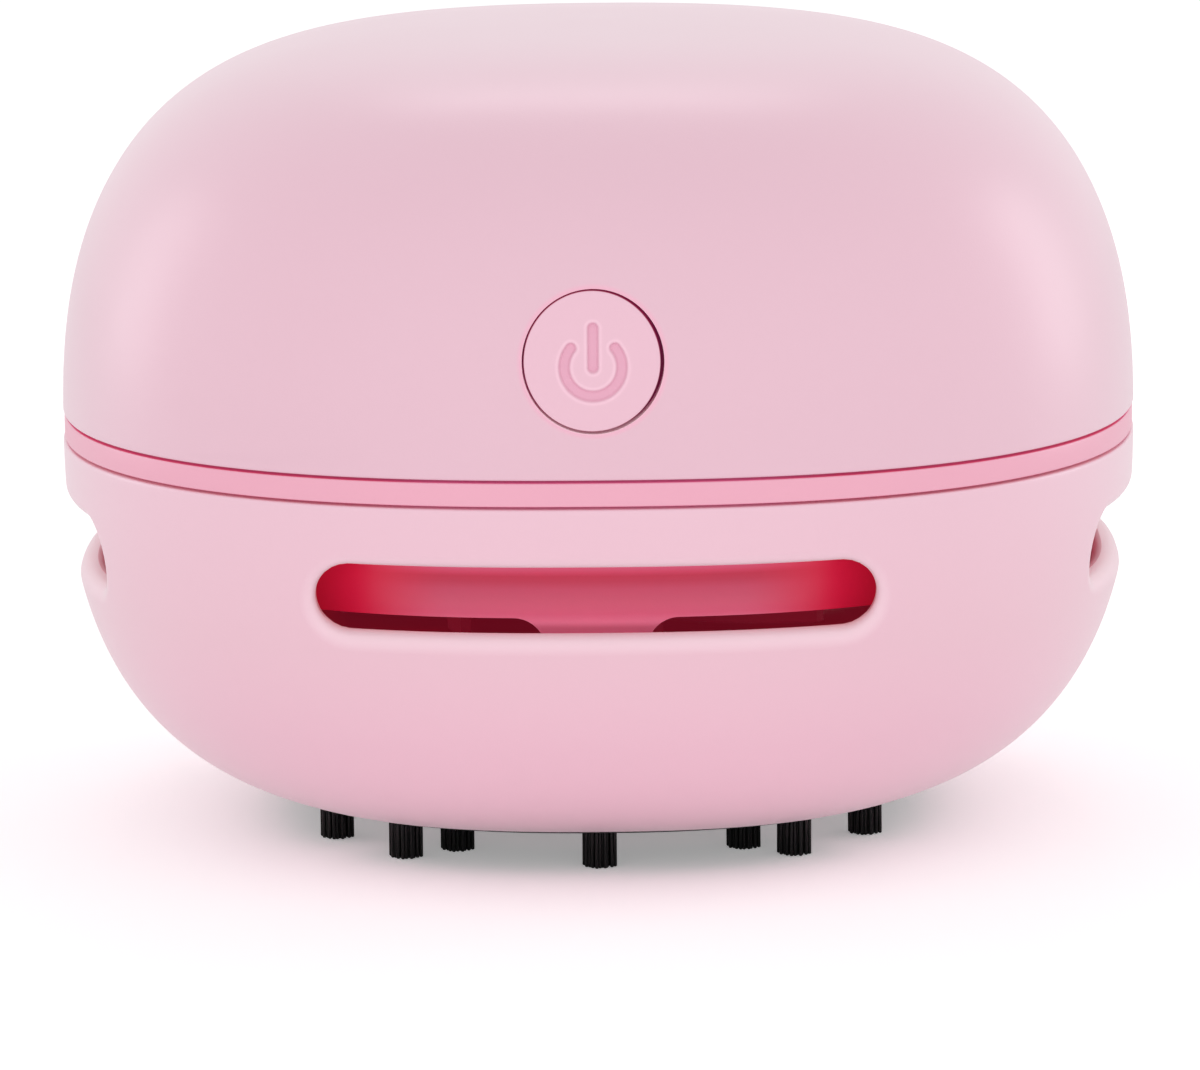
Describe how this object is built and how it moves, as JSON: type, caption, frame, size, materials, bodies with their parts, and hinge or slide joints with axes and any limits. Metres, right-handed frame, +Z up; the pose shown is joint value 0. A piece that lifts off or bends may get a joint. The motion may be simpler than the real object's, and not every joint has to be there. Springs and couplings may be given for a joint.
{
  "type": "desktop mini vacuum cleaner",
  "caption": "Palm-size desktop vacuum cleaner with a domed head, a lift-off dust cup, side exhaust slots, a front power button and bristle tufts round a central intake.",
  "frame": {"origin": "centre of the base, in the plane of the bristle tips", "axes": "+Z up along the motor's axis, -Y towards the side with the button, +X to the right seen from the button"},
  "size_m": [0.085, 0.085, 0.0634],
  "materials": {
    "shell_pink": "satin moulded ABS, pale pink",
    "frame_pink": "satin moulded ABS, deeper pink",
    "button_pink": "satin moulded ABS, pale pink, engraved symbol",
    "bristle_nylon": "black nylon bristle",
    "filter_plastic": "moulded polypropylene, light grey",
    "filter_felt": "needled white felt",
    "seal_rubber": "black silicone rubber",
    "motor_steel": "zinc-plated drawn steel",
    "screw_steel": "zinc-plated steel",
    "magnet_iron": "sintered ferrite and stacked iron",
    "end_cap_plastic": "moulded nylon, off-white",
    "tab_brass": "stamped brass",
    "fan_plastic": "moulded ABS, wine red",
    "cell_foil": "laminated foil pouch",
    "foam": "black closed-cell foam",
    "board_green": "glass-fibre board, green lacquer",
    "switch_plastic": "moulded black plastic",
    "lead_red": "extruded red insulation",
    "lead_black": "extruded black insulation"
  },
  "bodies": {
    "dust_cup": {"lower_shell": "shell_pink", "brush_front": "bristle_nylon", "brush_right": "bristle_nylon", "brush_rear": "bristle_nylon", "brush_left": "bristle_nylon"},
    "head": {"upper_shell": "shell_pink", "fan_frame": "frame_pink", "fan_plate": "frame_pink", "plate_seal": "seal_rubber", "plate_screw_front": "screw_steel", "plate_screw_right": "screw_steel", "plate_screw_rear": "screw_steel", "plate_screw_left": "screw_steel", "case_screw_front_left": "screw_steel", "case_screw_front_right": "screw_steel", "case_screw_rear_right": "screw_steel", "case_screw_rear_left": "screw_steel", "motor_screw_left": "screw_steel", "motor_screw_right": "screw_steel", "motor_can": "motor_steel", "motor_end_cap": "end_cap_plastic", "motor_tab_left": "tab_brass", "motor_tab_right": "tab_brass", "motor_magnet_left": "magnet_iron", "motor_magnet_right": "magnet_iron", "power_cell": "cell_foil", "cell_pad": "foam", "switch_housing": "switch_plastic", "switch_board": "board_green", "switch_screw_left": "screw_steel", "switch_screw_right": "screw_steel", "charge_board": "board_green", "charge_socket": "motor_steel", "charge_screw_left": "screw_steel", "charge_screw_right": "screw_steel", "motor_lead_left": "lead_red", "motor_lead_right": "lead_black", "cell_lead_left": "lead_red", "cell_lead_right": "lead_black", "link_lead_left": "lead_red", "link_lead_right": "lead_black"},
    "filter": {"filter_frame": "filter_plastic", "filter_felt": "filter_felt"},
    "button": {"button_cap": "button_pink", "switch_plunger": "switch_plastic"},
    "rotor": {"motor_shaft": "motor_steel", "motor_armature": "magnet_iron", "impeller": "fan_plastic"}
  },
  "joints": [
    {"name": "head_lift", "type": "slide", "parent": "dust_cup", "child": "head", "axis": [0, 0, 1], "range_m": [0, 0.04]},
    {"name": "filter_pull", "type": "slide", "parent": "head", "child": "filter", "axis": [0, 0, -1], "range_m": [0, 0.01]},
    {"name": "button_press", "type": "slide", "parent": "head", "child": "button", "axis": [0, 1, 0], "range_m": [0, 0.0008], "stiffness_N_per_m": 1500, "springref_m": -0.0002},
    {"name": "rotor_spin", "type": "hinge", "parent": "head", "child": "rotor", "pos_m": [0, 0, 0.02], "axis": [0, 0, 1], "continuous": true}
  ],
  "couplings": [
    {"joint": "filter_pull", "follows": "head_lift", "ratio": 0.25}
  ]
}
